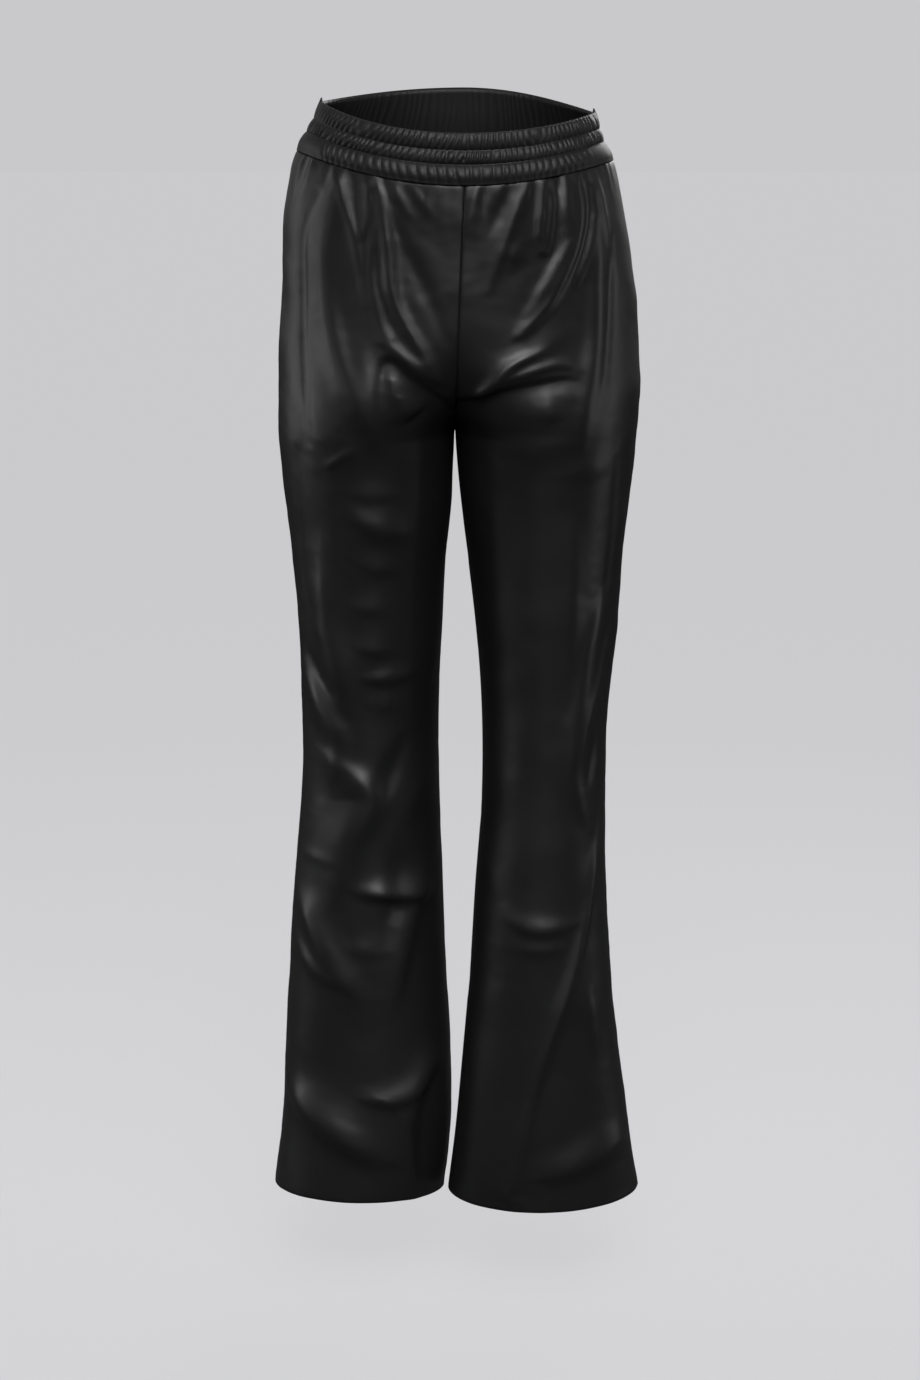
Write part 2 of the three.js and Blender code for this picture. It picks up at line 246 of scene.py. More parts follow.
def makeLeather(name, roughnessShift=0.0):
    look = leatherLook
    material, shader, surface = newMaterial(name)
    place = shader.add("TexCoord", out="Object")
    cells = shader.add("TexVoronoi", {"feature": "F1"}, {"Vector": place, "Scale": look["grainScale"]})
    pores = shader.add("TexNoise", sockets={"Vector": place, "Scale": look["poreScale"], "Detail": 3.0})
    patches = shader.add("TexNoise", sockets={"Vector": place, "Scale": look["patchScale"], "Detail": 4.0})
    rough = look["roughness"] + roughnessShift
    plug(shader.tree, surface.inputs["Roughness"], rough + (patches - 0.5) * look["roughnessSpread"])
    tint = shader.add(
        "Mix",
        {"data_type": "RGBA"},
        {"Factor": patches, "A": look["colour"], "B": look["patchColour"]},
        out=2,
    )
    plug(shader.tree, surface.inputs["Base Color"], tint)
    height = cells * look["grainShare"] + pores * look["poreShare"]
    relief = {"Strength": look["grainStrength"], "Distance": look["grainDepth"], "Height": height}
    bump = shader.add("Bump", sockets=relief)
    plug(shader.tree, surface.inputs["Normal"], bump)
    surface.inputs["Specular IOR Level"].default_value = 0.5
    return material


backingLook = {
    "colours": ((0.012, 0.012, 0.013, 1), (0.030, 0.030, 0.032, 1)),
    "roughness": 0.9,
    "knitScale": 240.0,
    "fuzzScale": 420.0,
    "knitDepth": 0.0003,
}


def makeBacking():
    look = backingLook
    material, shader, surface = newMaterial("backing")
    place = shader.add("TexCoord", out="Object")
    rows = {"Vector": place, "Scale": look["knitScale"], "Distortion": 1.5}
    knit = shader.add("TexWave", {"bands_direction": "Z"}, rows)
    fuzz = shader.add("TexNoise", sockets={"Vector": place, "Scale": look["fuzzScale"], "Detail": 2.0})
    tint = shader.add(
        "Mix",
        {"data_type": "RGBA"},
        {"Factor": fuzz, "A": look["colours"][0], "B": look["colours"][1]},
        out=2,
    )
    plug(shader.tree, surface.inputs["Base Color"], tint)
    surface.inputs["Roughness"].default_value = look["roughness"]
    surface.inputs["Specular IOR Level"].default_value = 0.2
    height = knit * 0.5 + fuzz * 0.5
    bump = shader.add("Bump", sockets={"Strength": 0.5, "Distance": look["knitDepth"], "Height": height})
    plug(shader.tree, surface.inputs["Normal"], bump)
    return material


threadLook = {
    "colour": (0.012, 0.012, 0.013, 1),
    "roughness": 0.5,
    "roughnessSpread": 0.2,
    "twistScale": 900.0,
}


def makeThread():
    look = threadLook
    material, shader, surface = newMaterial("thread")
    place = shader.add("TexCoord", out="Object")
    ply = {"Vector": place, "Scale": look["twistScale"]}
    twist = shader.add("TexWave", {"bands_direction": "DIAGONAL"}, ply)
    plug(shader.tree, surface.inputs["Roughness"], look["roughness"] + twist * look["roughnessSpread"])
    surface.inputs["Base Color"].default_value = look["colour"]
    return material


leather = makeLeather("leather")
gatheredLeather = makeLeather("gatheredLeather", 0.12)
backing = makeBacking()
thread = makeThread()

print("trousers: the cut")


def table(columns, rows):
    return {name: np.array(values, float) for name, values in zip(columns.split(), zip(*rows))}


# Rows of the hips and seat, down to the crotch: height, x of the side seams, depth to the front and the back
torso = [
    (36, -126, 124, 91, 93),
    (22, -129, 127, 91, 94),
    (6, -137, 133, 92, 95),
    (-12, -147, 139, 92.5, 97),
    (-32, -156, 149, 95, 100),
    (-52, -160, 154, 98, 104),
    (-87, -165, 161, 101, 111),
    (-125, -167, 167, 103, 119),
    (-163, -168, 172, 105, 126),
    (-201, -171, 174, 105, 130),
    (-240, -172, 176, 104, 128),
    (-270, -172.5, 175, 101, 120),
    (-289, -172, 173.5, 98.5, 113),
]

# Rows of each leg: height, x of the side seam and the inseam, depth to the front and back, y of both seams
legs = {
    "right": [
        (-327, -169, -4, 94, 99, 0),
        (-356, -166, -5, 91, 92, 0),
        (-415, -160, -11, 85, 82, 0),
        (-475, -155, -14, 80, 76, 0),
        (-535, -153, -17, 76, 74, 0),
        (-595, -152, -18, 73, 73, 0),
        (-657, -155, -16, 71, 76, 0),
        (-739, -162, -14, 70, 79, 0),
        (-822, -168, -11, 70, 79, 0),
        (-906, -173, -6.5, 70, 77, 0),
        (-992, -178, -6, 71, 75, 0),
        (-1060, -186, -12.5, 72, 73, 0),
    ],
    "left": [
        (-327, 171, 1, 95, 98, 0),
        (-356, 167, 4, 92, 92, -1),
        (-415, 161, 11, 87, 82, -3),
        (-475, 157, 18, 83, 77, -5),
        (-535, 151, 23, 79, 75, -7),
        (-595, 147, 25, 76, 74, -9),
        (-657, 146, 24, 73, 73, -12),
        (-739, 148, 18, 70, 72, -16),
        (-822, 154, 13, 67, 69, -20),
        (-906, 162, 6, 64, 66, -24),
        (-992, 173, -2, 61, 62, -28),
        (-1060, 184, -10.5, 59, 59, -30),
    ],
}

cut = {
    "seamGap": 0.02,
    "crotch": -289,
    "forkStart": -150,  # the centre seam runs straight above this height and curves under below it
    "forkPower": {"front": 1.8, "back": 1.35},
    "forkEasing": 1.5,
    "forkSoftness": 0.14,
    "centreSeam": (-52, 7, -2),  # height at the waist, x at the waist, x at the crotch
    "straightBelowBand": -140,
    "thickness": 1.1,
}
bandTop = {"right": 23, "left": 13, "front": -4, "back": 35, "bend": 2}
bandBottom = {"right": -20.5, "left": -29.5, "front": -49.5, "back": -13, "bend": 2.4}
hem = {
    "right": {"side": -1054, "inner": -1058, "front": -1053, "back": -1052},
    "left": {"side": -1046, "inner": -1050, "front": -1056, "back": -1046},
}
outward = {"right": -1, "left": 1}
facing = {"front": -1, "back": 1}
sideColumn = {"right": 1, "left": 2}


def centreSeamX(z):
    waist, waistX, crotchX = cut["centreSeam"]
    return waistX + (z - waist) * (crotchX - waistX) / (cut["crotch"] - waist)


def outlineTable(side):
    body = [(row[0], row[sideColumn[side]], row[3], row[4], 0) for row in torso]
    leg = [(z, sideX, front, back, seam) for z, sideX, inner, front, back, seam in legs[side]]
    return table("z side front back seam", body + leg)


def inseamTable(side):
    first = (cut["crotch"], centreSeamX(cut["crotch"]) + outward[side] * cut["seamGap"] / 2)
    return table("z inner", [first] + [(row[0], row[2]) for row in legs[side]])


outlines = {side: outlineTable(side) for side in outward}
inseams = {side: inseamTable(side) for side in outward}


def readRows(rows, z, column):  # a smooth curve through the rows, read at many heights
    heights, values = rows["z"], rows[column]
    last = len(heights) - 1
    i = np.clip(np.searchsorted(-heights, -np.asarray(z, float), side="right") - 1, 0, last - 1)
    above, below = np.maximum(np.arange(last + 1) - 1, 0), np.minimum(np.arange(last + 1) + 1, last)
    slopes = (values[below] - values[above]) / (heights[below] - heights[above])
    span = heights[i + 1] - heights[i]
    t = np.clip((z - heights[i]) / span, 0, 1)
    return (
        (2 * t**3 - 3 * t**2 + 1) * values[i]
        + (t**3 - 2 * t**2 + t) * span * slopes[i]
        + (3 * t**2 - 2 * t**3) * values[i + 1]
        + (t**3 - t**2) * span * slopes[i + 1]
    )


def section(side, half, z):  # half an ellipse from the side seam to the inner edge, at each height
    sideX = readRows(outlines[side], z, "side")
    depth = readRows(outlines[side], z, half)
    seamY = readRows(outlines[side], z, "seam")
    s = np.clip((cut["forkStart"] - z) / (cut["forkStart"] - cut["crotch"]), 0, 1)
    soft = cut["forkSoftness"]
    s = (np.hypot(s, soft) - soft) / (math.hypot(1, soft) - soft)
    share = 1 - (1 - s ** cut["forkPower"][half]) ** cut["forkEasing"]
    edgeX = centreSeamX(z) + outward[side] * cut["seamGap"] / 2
    reach = (sideX - edgeX) / (1 + share)
    innerX = readRows(inseams[side], z, "inner")
    isLeg = z < cut["crotch"]
    middle = np.where(isLeg, (sideX + innerX) / 2, edgeX + share * reach)
    reach = np.where(isLeg, (sideX - innerX) / 2, reach)
    lastAngle = np.where(isLeg, math.pi, np.arccos(-share))
    return middle, reach, depth, seamY, lastAngle


def surfacePoints(side, half, u, z):
    middle, reach, depth, seamY, lastAngle = section(side, half, z)
    angle = u * lastAngle
    y = seamY + facing[half] * (cut["seamGap"] / 2 + depth * np.sin(angle))
    return np.stack([middle + reach * np.cos(angle), y, z + 0 * angle], axis=-1)


def pointAt(half, x, z):  # the point of the smooth cloth at a place seen from the front or the back
    side = "right" if x < centreSeamX(z) else "left"
    middle, reach, depth, seamY, lastAngle = (float(v) for v in section(side, half, np.array(float(z))))
    c = min(1, max(math.cos(lastAngle), (x - middle) / reach))
    return np.array([middle + reach * c, seamY + facing[half] * depth * math.sqrt(max(0, 1 - c * c)), z])


def bandEdge(edge, side, half, angle):
    return edge[side] + (edge[half] - edge[side]) * np.abs(np.sin(angle)) ** edge["bend"]


def hemEdge(side, half, u):
    level = hem[side]["side"] + (hem[side]["inner"] - hem[side]["side"]) * u
    return level + (hem[side][half] - (hem[side]["side"] + hem[side]["inner"]) / 2) * np.sin(u * math.pi)


print("trousers: folds")

# Each fold runs along a line of places (x, z) on the front or the back, as a ridge or, below 0, a trough:
# width, height, share of both at its start and its end, lean (one side steeper), then the places
frontFolds = [
    # right hip
    (
        15, 5.0, 0.6, 0.15, 0.1,
        [(-108, -46), (-120, -88), (-124, -130), (-120, -166), (-112, -205), (-98, -245), (-82, -275)],
    ),
    (
        6, -2.2, 0.5, 0.3, 0.0,
        [(-129, -60), (-141, -86), (-145, -111), (-145, -180), (-143, -250), (-140, -290)],
    ),
    (
        4.4, 2.2, 0.7, 0.3, 0.0,
        [(-107, -50), (-102, -75), (-97, -91), (-94, -102), (-90, -123), (-87, -141), (-84, -160)],
    ),
    (4.2, 2.2, 0.7, 0.4, 0.0, [(-82, -48), (-81, -77), (-85, -90), (-89, -99)]),
    (7, -1.1, 1.0, 0.3, 0.0, [(-95, -46), (-91, -87)]),
    (
        5.5, 2.0, 0.3, 0.8, 0.0,
        [(-76, -66), (-77, -100), (-79, -127), (-77, -150), (-74, -168), (-70, -182), (-64, -190)],
    ),
    (
        8, 4.7, 0.6, 0.5, 0.28,
        [(-74, -44), (-67, -72), (-63, -106), (-61, -140), (-57, -160), (-48, -178), (-33, -203),
         (-17, -225)],
    ),
    (
        6, -2.2, 0.4, 0.5, 0.0,
        [(-73, -95), (-72, -130), (-69, -150), (-60, -170), (-50, -187), (-40, -200), (-32, -209)],
    ),
    (
        5.5, 2.2, 0.4, 0.3, -0.2,
        [(-72, -193), (-63, -198), (-53, -206), (-42, -215), (-32, -223), (-20, -230), (-11, -233)],
    ),
    (
        11, -3.9, 0.2, 0.4, 0.65,
        [(-72, -256), (-72, -226), (-65, -209), (-54, -217), (-42, -229), (-26, -241), (-8, -255)],
    ),
    (14, 3.0, 0.3, 0.1, 0.2, [(-88, -200), (-86, -230), (-81, -260), (-74, -300)]),
    (9, 2.4, 0.5, 0.5, -0.3, [(-54, -264), (-34, -253)]),
    (3.5, -2.0, 0.5, 0.5, 0.0, [(-50, -275), (-29, -258)]),
    (3.5, 2.0, 0.5, 0.5, 0.0, [(-121, -312), (-97, -295)]),
    (7, -1.4, 0.4, 0.3, 0.0, [(-64, -77), (-48, -109), (-32, -140), (-20, -168), (-9, -196)]),
    (4, 1.2, 0.8, 0.1, 0.0, [(-56, -54), (-44, -80)]),
    (4, 1.2, 0.8, 0.1, 0.0, [(-38, -56), (-24, -78)]),
    # left hip
    (5, 2.0, 0.6, 0.3, 0.0, [(66, -50), (57, -70), (48, -93), (41, -111), (34, -131), (29, -147)]),
    (7, -1.6, 0.8, 0.2, 0.0, [(48, -52), (38, -77), (30, -96)]),
    (10, 1.0, 0.5, 0.2, 0.0, [(16, -66), (18, -102)]),
    (8, 1.8, 0.4, 0.4, 0.0, [(56, -104), (50, -122)]),
    (3.6, 3.0, 0.7, 0.6, 0.0, [(80, -47), (79, -65), (77, -84), (76, -100), (79, -112)]),
    (3.6, 2.4, 0.7, 0.6, 0.0, [(86, -47), (88, -65), (87, -81), (85, -100), (83, -111)]),
    (5, -1.5, 0.9, 0.2, 0.0, [(94, -46), (96, -72)]),
    (9, 3.0, 0.6, 0.3, 0.0, [(100, -50), (103, -85), (96, -118)]),
    (
        8, 4.8, 0.5, 0.4, 0.3,
        [(111, -43), (117, -77), (111, -108), (104, -124), (96, -140), (87, -158), (74, -173),
         (60, -187)],
    ),
    (5.5, 2.2, 0.4, 0.3, 0.0, [(103, -104), (87, -133), (75, -154), (64, -169)]),
    (6, -2.6, 0.6, 0.2, 0.0, [(122, -54), (124, -81), (120, -104), (111, -130)]),
    (5.5, 2.4, 0.3, 0.3, 0.0, [(126, -84), (122, -107), (116, -129), (112, -143)]),
    (5, 2.0, 0.6, 0.3, 0.0, [(131, -45), (136, -72), (141, -97), (145, -122)]),
    (
        12, 4.2, 0.5, 0.3, 0.0,
        [(127, -60), (131, -105), (131, -150), (130, -190), (127, -226), (122, -252), (117, -288)],
    ),
    (6, -2.0, 0.4, 0.3, 0.0, [(145, -100), (144, -150), (142, -190), (138, -240)]),
    (5.5, 3.3, 0.9, 0.2, -0.1, [(20, -246), (36, -229), (48, -217), (64, -209), (82, -202)]),
    (12, 1.5, 0.5, 0.3, -0.2, [(26, -238), (48, -217), (64, -208), (82, -201), (96, -191), (108, -184)]),
    (
        5.5, 2.4, 0.6, 0.3, -0.1,
        [(24, -241), (40, -232), (59, -225), (77, -219), (92, -215), (104, -216), (113, -222)],
    ),
    (10, -4.0, 0.4, 0.1, 0.7, [(3, -252), (28, -246), (53, -238), (80, -232), (101, -228), (114, -232)]),
    (9, 1.6, 0.6, 0.1, 0.0, [(86, -248), (87, -272)]),
    (12, 1.6, 0.5, 0.5, 0.0, [(46, -290), (70, -296), (94, -291)]),
    # right thigh
    (10, 1.6, 0.3, 0.3, -0.3, [(-98, -338), (-56, -339)]),
    (14, 4.2, 0.2, 0.3, -0.2, [(-100, -356), (-76, -372), (-48, -377)]),
    (10, 1.8, 0.3, 0.3, -0.3, [(-86, -408), (-58, -412)]),
    (11, 1.5, 0.3, 0.3, -0.3, [(-94, -448), (-64, -452)]),
    (10, 1.6, 0.3, 0.3, -0.3, [(-92, -488), (-66, -491)]),
    (8, 3.2, 0.3, 0.3, -0.3, [(-86, -519), (-64, -519), (-42, -515)]),
    (10, 1.6, 0.3, 0.3, -0.3, [(-78, -546), (-58, -544)]),
    (6, -1.8, 0.4, 0.4, 0.0, [(-150, -300), (-151, -370), (-147, -440)]),
    # right knee
    (
        17, 6.6, 0.2, 0.15, 0.0,
        [(-130, -400), (-126, -463), (-118, -491), (-113, -514), (-106, -540), (-100, -562)],
    ),
    (10, -2.4, 0.4, 0.2, 0.0, [(-144, -498), (-133, -524), (-121, -549), (-107, -560)]),
    (
        16, 6.2, 0.4, 0.2, 0.2,
        [(-147, -514), (-136, -536), (-121, -557), (-113, -575), (-111, -592), (-117, -612)],
    ),
    (
        17, 7.0, 0.15, 0.2, 0.25,
        [(-130, -594), (-103, -615), (-87, -628), (-81, -639), (-89, -656), (-101, -674), (-107, -700),
         (-117, -738)],
    ),
    (5, 2.0, 0.5, 0.2, 0.0, [(-20, -496), (-24, -519), (-30, -545), (-38, -564)]),
    (14, 4.2, 0.5, 0.2, 0.0, [(-22, -606), (-36, -634), (-54, -662)]),
    (10, -3.5, 0.4, 0.2, 0.0, [(-50, -580), (-62, -608), (-76, -648)]),
    # left thigh and knee
    (10, 1.8, 0.4, 0.3, 0.0, [(110, -370), (110, -450), (106, -540)]),
    (12, 1.3, 0.5, 0.5, 0.0, [(114, -318), (138, -312)]),
    (6, -1.8, 0.4, 0.4, 0.0, [(152, -310), (150, -380), (143, -440)]),
    (
        14, 5.6, 0.05, 0.2, -0.25,
        [(142, -432), (134, -465), (125, -492), (120, -530), (114, -563), (111, -600), (112, -624),
         (120, -648), (128, -668)],
    ),
    (
        7, 2.6, 0.5, 0.3, 0.0,
        [(148, -478), (141, -508), (136, -531), (128, -548), (121, -570), (119, -600)],
    ),
    (7, -2.5, 0.4, 0.3, 0.0, [(134, -580), (127, -622)]),
    # right shin
    (6, 1.0, 0.5, 0.2, 0.0, [(-152, -700), (-121, -704)]),
    (
        14, 5.6, 0.4, 0.2, -0.15,
        [(-160, -742), (-148, -762), (-138, -779), (-130, -796), (-117, -817), (-96, -838)],
    ),
    (9, 2.8, 0.4, 0.2, -0.1, [(-162, -788), (-152, -804), (-135, -821), (-112, -828)]),
    (15, 8.4, 0.1, 0.6, -0.45, [(-100, -732), (-52, -738), (-6, -738)]),
    (17, -5.5, 0.3, 0.3, -0.2, [(-58, -694), (-55, -716), (-58, -742), (-68, -766)]),
    (8, 3.0, 0.2, 0.6, -0.4, [(-96, -732), (-60, -737), (-30, -740)]),
    (13, 6.0, 0.8, 0.2, 0.3, [(-24, -712), (-34, -735), (-44, -765), (-54, -806), (-62, -850)]),
    (10, 1.6, 0.3, 0.3, -0.2, [(-106, -790), (-72, -794)]),
    (12, 6.5, 0.3, 0.6, -0.4, [(-86, -946), (-62, -948), (-43, -943), (-28, -925), (-18, -902)]),
    (12, 5.0, 0.8, 0.4, 0.3, [(-20, -895), (-34, -928), (-45, -962), (-47, -992), (-42, -1052)]),
    (5, 1.8, 0.3, 0.4, 0.0, [(-80, -942), (-59, -955), (-50, -975), (-45, -1030)]),
    (19, 8.6, 0.2, 0.35, -0.2, [(-168, -948), (-146, -962), (-122, -980), (-98, -996), (-76, -1008)]),
    # left shin
    (
        6, 4.8, 0.7, 0.5, 0.2,
        [(142, -655), (137, -684), (132, -717), (126, -756), (114, -817), (90, -882), (75, -933),
         (67, -982), (57, -1032)],
    ),
    (9, 3.2, 0.3, 0.3, -0.3, [(48, -754), (62, -764), (88, -768), (114, -762)]),
    (9, 1.6, 0.3, 0.3, -0.2, [(60, -786), (104, -785)]),
    (10, 2.6, 0.4, 0.4, 0.0, [(130, -838), (137, -892)]),
    (16, 5.5, 0.4, 0.4, -0.3, [(96, -1018), (134, -1004), (168, -986)]),
    (8, 2.0, 0.4, 0.6, 0.0, [(46, -1036), (58, -1046)]),
]

backFolds = [
    # gathers let down from the waistband
    (14.4, 5.5, 0.6, 0.1, 0.2, [(-118, -42), (-108, -95), (-98, -165)]),
    (10.8, 4.4, 0.6, 0.1, 0.0, [(-84, -34), (-86, -80), (-80, -130)]),
    (12, 5, 0.6, 0.1, -0.2, [(-48, -26), (-55, -75), (-62, -128)]),
    (9.6, -3.3, 0.8, 0.1, 0.0, [(-66, -30), (-70, -70), (-72, -105)]),
    (9.6, 3.1, 0.6, 0.1, 0.0, [(-22, -22), (-24, -62)]),
    (9.6, 3.3, 0.6, 0.1, 0.0, [(28, -24), (31, -70)]),
    (12, 5, 0.6, 0.1, 0.2, [(56, -28), (63, -80), (68, -138)]),
    (10.8, -3.3, 0.8, 0.1, 0.0, [(75, -34), (80, -74), (84, -110)]),
    (12, 4.6, 0.6, 0.1, 0.0, [(94, -38), (92, -88), (84, -140)]),
    (14.4, 5.7, 0.6, 0.1, -0.2, [(122, -50), (116, -105), (104, -172)]),
    (9.6, 3.3, 0.6, 0.1, 0.0, [(-148, -52), (-150, -110), (-146, -170)]),
    (9.6, 3.3, 0.6, 0.1, 0.0, [(148, -58), (152, -120), (150, -180)]),
    # under the seat
    (12, 6.6, 0.4, 0.1, -0.4, [(-12, -292), (-50, -312), (-92, -330), (-128, -338)]),
    (10.8, 5, 0.3, 0.1, -0.3, [(-26, -322), (-64, -352), (-100, -372), (-128, -380)]),
    (10.3, 6.5, 0.3, 0.1, 0.0, [(-30, -362), (-62, -396), (-88, -428)]),
    (12, 6.6, 0.4, 0.1, 0.4, [(14, -294), (54, -312), (94, -326), (132, -334)]),
    (10.8, 5, 0.3, 0.1, 0.3, [(30, -324), (66, -350), (104, -368), (130, -374)]),
    (10.3, 6.1, 0.3, 0.1, 0.0, [(36, -366), (66, -398), (90, -434)]),
    (14.4, -2.9, 0.3, 0.2, 0.0, [(-20, -270), (-70, -296), (-120, -304)]),
    (14.4, -2.9, 0.3, 0.2, 0.0, [(20, -272), (72, -294), (122, -300)]),
    # back of the thighs and knees
    (13.8, 5.7, 0.3, 0.2, 0.2, [(-140, -420), (-120, -500), (-100, -560)]),
    (13.8, 5.7, 0.3, 0.2, -0.2, [(142, -420), (124, -500), (104, -556)]),
    (12, 6.0, 0.3, 0.2, -0.4, [(-30, -566), (-64, -590), (-104, -604), (-140, -600)]),
    (13, 5.0, 0.3, 0.2, 0.3, [(-34, -622), (-74, -630), (-112, -642), (-146, -658)]),
    (10, 3.6, 0.3, 0.2, 0.0, [(-40, -674), (-78, -676), (-116, -668), (-146, -650)]),
    (13, 5.6, 0.3, 0.2, 0.4, [(34, -553), (66, -584), (104, -598), (138, -592)]),
    (11, 5.4, 0.3, 0.2, -0.3, [(38, -612), (72, -626), (108, -640), (138, -652)]),
    (12, 3.2, 0.3, 0.2, 0.0, [(40, -662), (76, -676), (110, -670), (136, -654)]),
    # calves and flare
    (13.8, 6.6, 0.3, 0.2, 0.2, [(-52, -700), (-66, -780), (-88, -850)]),
    (13.8, 6.6, 0.2, 0.6, 0.0, [(-120, -760), (-128, -860), (-134, -960), (-136, -1050)]),
    (13.8, 6.6, 0.2, 0.6, 0.0, [(-58, -820), (-56, -920), (-60, -1050)]),
    (13.8, 6.6, 0.3, 0.2, -0.2, [(56, -702), (66, -780), (84, -846)]),
    (13.8, 6.6, 0.2, 0.6, 0.0, [(112, -760), (122, -860), (134, -960), (138, -1046)]),
    (13.8, 6.6, 0.2, 0.6, 0.0, [(44, -830), (42, -920), (40, -1046)]),
    (15, 5.0, 0.2, 0.2, 0.2, [(-160, -946), (-136, -962), (-96, -972)]),
    (16, 4.6, 0.2, 0.2, -0.2, [(152, -930), (128, -952), (86, -966)]),
]


def smoothLine(points, rounds=2):  # cuts the corners of a line, and keeps its ends
    for _ in range(rounds):
        steps = points[1:] - points[:-1]
        inner = np.stack([points[:-1] + 0.25 * steps, points[:-1] + 0.75 * steps], axis=1)
        points = np.concatenate([points[:1], inner.reshape(-1, points.shape[1]), points[-1:]])
    return points


def placeFolds():
    placed = []
    for half, folds in (("front", frontFolds), ("back", backFolds)):
        for width, height, start, end, lean, places in folds:
            line = smoothLine(np.array(places, float))
            points = np.array([pointAt(half, x, z) for x, z in line])
            placed.append((points, width, height, start, end, lean))
    return placed


placedFolds = placeFolds()
foldReach = 3.2  # a fold is felt this many of its widths away
narrowEnds = 0.45  # share of its width that a fold loses where it dies out


def foldHeights(points, normals):  # raise of the cloth at many points, from every fold near them
    raised = np.zeros(len(points))
    for line, width, height, start, end, lean in placedFolds:
        reach = foldReach * width
        near = np.all((points > line.min(axis=0) - reach) & (points < line.max(axis=0) + reach), axis=1)
        if not near.any():
            continue
        p, n = points[near], normals[near]
        steps = line[1:] - line[:-1]
        lengths = np.linalg.norm(steps, axis=1)
        along = np.concatenate([[0], np.cumsum(lengths)])
        total = along[-1]
        best = np.full(len(p), 1e9)
        place, leaning = np.zeros(len(p)), np.zeros(len(p))
        for a, step, length, before in zip(line[:-1], steps, lengths, along):
            t = np.clip((p - a) @ step / length**2, 0, 1)
            off = p - a - t[:, None] * step
            distance = np.linalg.norm(off, axis=1)
            closer = distance < best
            best = np.where(closer, distance, best)
            place = np.where(closer, (before + t * length) / total, place)
            side = np.einsum("ij,ij->i", np.cross(np.broadcast_to(step, p.shape), n), off)
            leaning = np.where(closer, np.sign(side), leaning)
        swell = (1 - place) * start + place * end + 4 * place * (1 - place) * (1 - (start + end) / 2)
        spread = width * (1 - narrowEnds + narrowEnds * swell) * (1 + lean * leaning)
        raised[near] += height * swell * np.exp(-((best / spread) ** 2))
    return raised


# Soft unevenness that cloth has everywhere: size of the swells in millimetres, and their height
swells = [(80, 1.4, 0.8), (32, 0.68, 1.0), (11, 0.22, 1.2)]


def unevenness(points):
    raised = np.zeros(len(points))
    for size, height, squash in swells:
        for i, (x, y, z) in enumerate(points / size):
            raised[i] += height * noise.noise(Vector((x, y, z * squash)))
    return raised


print("trousers: panels")

panelGrid = {
    "middleColumns": 66,
    "seamColumns": (0, 0.5, 1.1, 2.0, 3.2, 5.0),  # millimetres from a seam
    "bandRows": 44,
    "forkRows": 74,
    "legRows": 262,
    "sampleHeight": -600.0,  # where the columns' shares are read before they are fitted to each row
}
seams = {
    "roll": 1.0,  # depth to which the cloth rolls in at a seam
    "rollWidth": 1.1,
    "allowanceColumns": 2,  # past the fine ones along the seam
    "allowanceDepth": 2.5,
    "settle": 14,  # distance over which a fold's direction turns into the seam's plane
    "tuck": 0.5,  # depth to which the top edge goes in under the waistband
    "tuckHeight": 1.6,
    "heldShare": 0.55,  # share of a fold that the waistband holds flat
    "heldHeight": 7,
}
gathers = {
    "perPanel": 30,
    "height": (0.5, 1.5),
    "width": (1.6, 3.4),
    "length": (9, 34),
    "drift": 0.25,  # sideways, for each millimetre down
    "widening": 0.6,
    "fade": 1.5,
    "clearOfSide": 0.14,
}
calm = {"from": 0.72, "over": 0.26, "share": 0.75}  # by how far the cloth faces sideways
legGap = {"height": 45, "reach": 25, "full": 3, "steep": 1.4, "start": 0.4}


def columnShares(side, half, z):  # u of each column at a height, finer towards both seams
    middle, reach, depth, seamY, lastAngle = section(side, half, z)
    firstSpeed = depth * lastAngle
    lastSpeed = lastAngle * np.hypot(reach * np.sin(lastAngle), depth * np.cos(lastAngle))
    ends = np.array(panelGrid["seamColumns"])
    first = ends[:, None] / firstSpeed
    last = 1 - ends[::-1, None] / lastSpeed
    t = np.linspace(0, 1, panelGrid["middleColumns"] + 1)[1:-1, None]
    between = first[-1] + (last[0] - first[-1]) * t
    return np.concatenate([first, between, last])


def rowHeights(side, half, u):  # heights of the rows of points in each column, from the waistband to the hem
    top = bandEdge(bandBottom, side, half, u * math.pi / 2) - cut["seamGap"]
    t = np.linspace(0, 1, panelGrid["bandRows"] + 1)
    band = top + (cut["straightBelowBand"] - top) * t
    t = np.linspace(0, 1, panelGrid["forkRows"] + 1)[1:]
    fork = cut["straightBelowBand"] + (cut["crotch"] - cut["straightBelowBand"]) * t
    t = np.linspace(0, 1, panelGrid["legRows"] + 1)[1:]
    leg = cut["crotch"] + (hemEdge(side, half, u) - cut["crotch"]) * t
    return np.concatenate([band, fork, leg])


def baseGrid(side, half):  # u, z and points of a panel before any fold, columns by rows
    middleShares = columnShares(side, half, np.array([panelGrid["sampleHeight"]]))[:, 0]
    z = np.array([rowHeights(side, half, float(u)) for u in middleShares])
    u = np.stack([columnShares(side, half, row).diagonal() for row in z.T], axis=1)
    return u, z, surfacePoints(side, half, u, z)


def gridNormals(points, sign):
    along = np.gradient(points, axis=0)
    down = np.gradient(points, axis=1)
    normals = np.cross(along, down)
    return sign * normals / np.linalg.norm(normals, axis=-1, keepdims=True)


def settleNormals(normals, points):  # near a seam the normals turn into the plane that both panels share
    first = np.linalg.norm(points - points[:1], axis=-1) / seams["settle"]
    last = np.linalg.norm(points - points[-1:], axis=-1) / seams["settle"]
    first, last = np.clip(first, 0, 1), np.clip(last, 0, 1)
    isLeg = points[..., 2] < cut["crotch"]
    normals = normals.copy()
    normals[..., 1] *= first * first * (3 - 2 * first)
    ease = last * last * (3 - 2 * last)
    normals[..., 0] *= np.where(isLeg, 1, ease)
    normals[..., 1] *= np.where(isLeg, ease, 1)
    return normals / np.linalg.norm(normals, axis=-1, keepdims=True)


